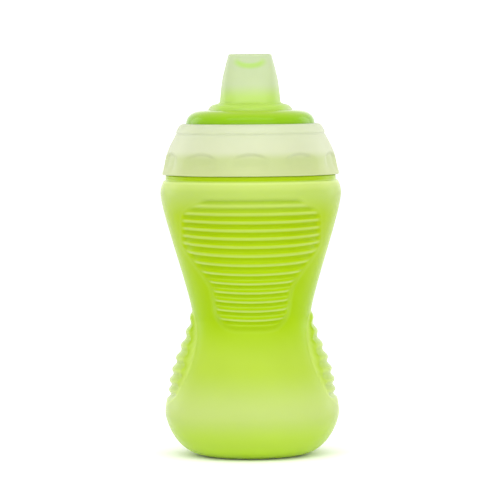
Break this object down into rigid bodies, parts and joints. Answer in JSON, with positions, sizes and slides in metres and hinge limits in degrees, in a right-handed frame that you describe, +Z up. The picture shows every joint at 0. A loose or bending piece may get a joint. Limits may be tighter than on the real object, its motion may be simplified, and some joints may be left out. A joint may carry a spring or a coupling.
{
  "type": "sippy cup",
  "caption": "Hourglass child's drinking cup with ribbed grips, screw collar, domed lid ring, soft spout and pull-off spill valves.",
  "frame": {"origin": "middle of the foot, on the surface that the cup stands on", "axes": "+Z up along the cup's axis, -Y towards the front, +X to the right; the spout is widest along X"},
  "size_m": [0.0752, 0.0752, 0.1669],
  "materials": {
    "cup_plastic": "satin, slightly translucent",
    "collar_plastic": "satin",
    "lid_plastic": "glossy, translucent",
    "spout_silicone": "frosted, translucent",
    "plate_plastic": "satin",
    "valve_silicone": "frosted",
    "seal_silicone": "matte"
  },
  "bodies": {
    "cup": {"cup_body": "cup_plastic"},
    "lid": {"lid_dome": "lid_plastic", "sealing_ring": "seal_silicone"},
    "collar": {"screw_collar": "collar_plastic"},
    "spout_insert": {"soft_spout": "spout_silicone", "valve_plate": "plate_plastic"},
    "flow_valve": {"spill_valve": "valve_silicone"},
    "air_valve": {"vent_valve": "valve_silicone"}
  },
  "joints": [
    {"name": "lid_lift", "type": "slide", "parent": "cup", "child": "lid", "axis": [0, 0, 1], "range_m": [0, 0.027]},
    {"name": "collar_turn", "type": "hinge", "parent": "lid", "child": "collar", "pos_m": [0, 0, 0.12], "axis": [0, 0, 1], "range_deg": [0, 1085]},
    {"name": "insert_drop", "type": "slide", "parent": "lid", "child": "spout_insert", "axis": [0, 0, -1], "range_m": [0, 0.03]},
    {"name": "spill_valve_pull", "type": "slide", "parent": "spout_insert", "child": "flow_valve", "axis": [0, 0, -1], "range_m": [0, 0.012]},
    {"name": "vent_valve_pull", "type": "slide", "parent": "spout_insert", "child": "air_valve", "axis": [0, 0, -1], "range_m": [0, 0.01]}
  ],
  "couplings": [
    {"joint": "collar_turn", "follows": "lid_lift", "rad_per_m": 698.13}
  ]
}
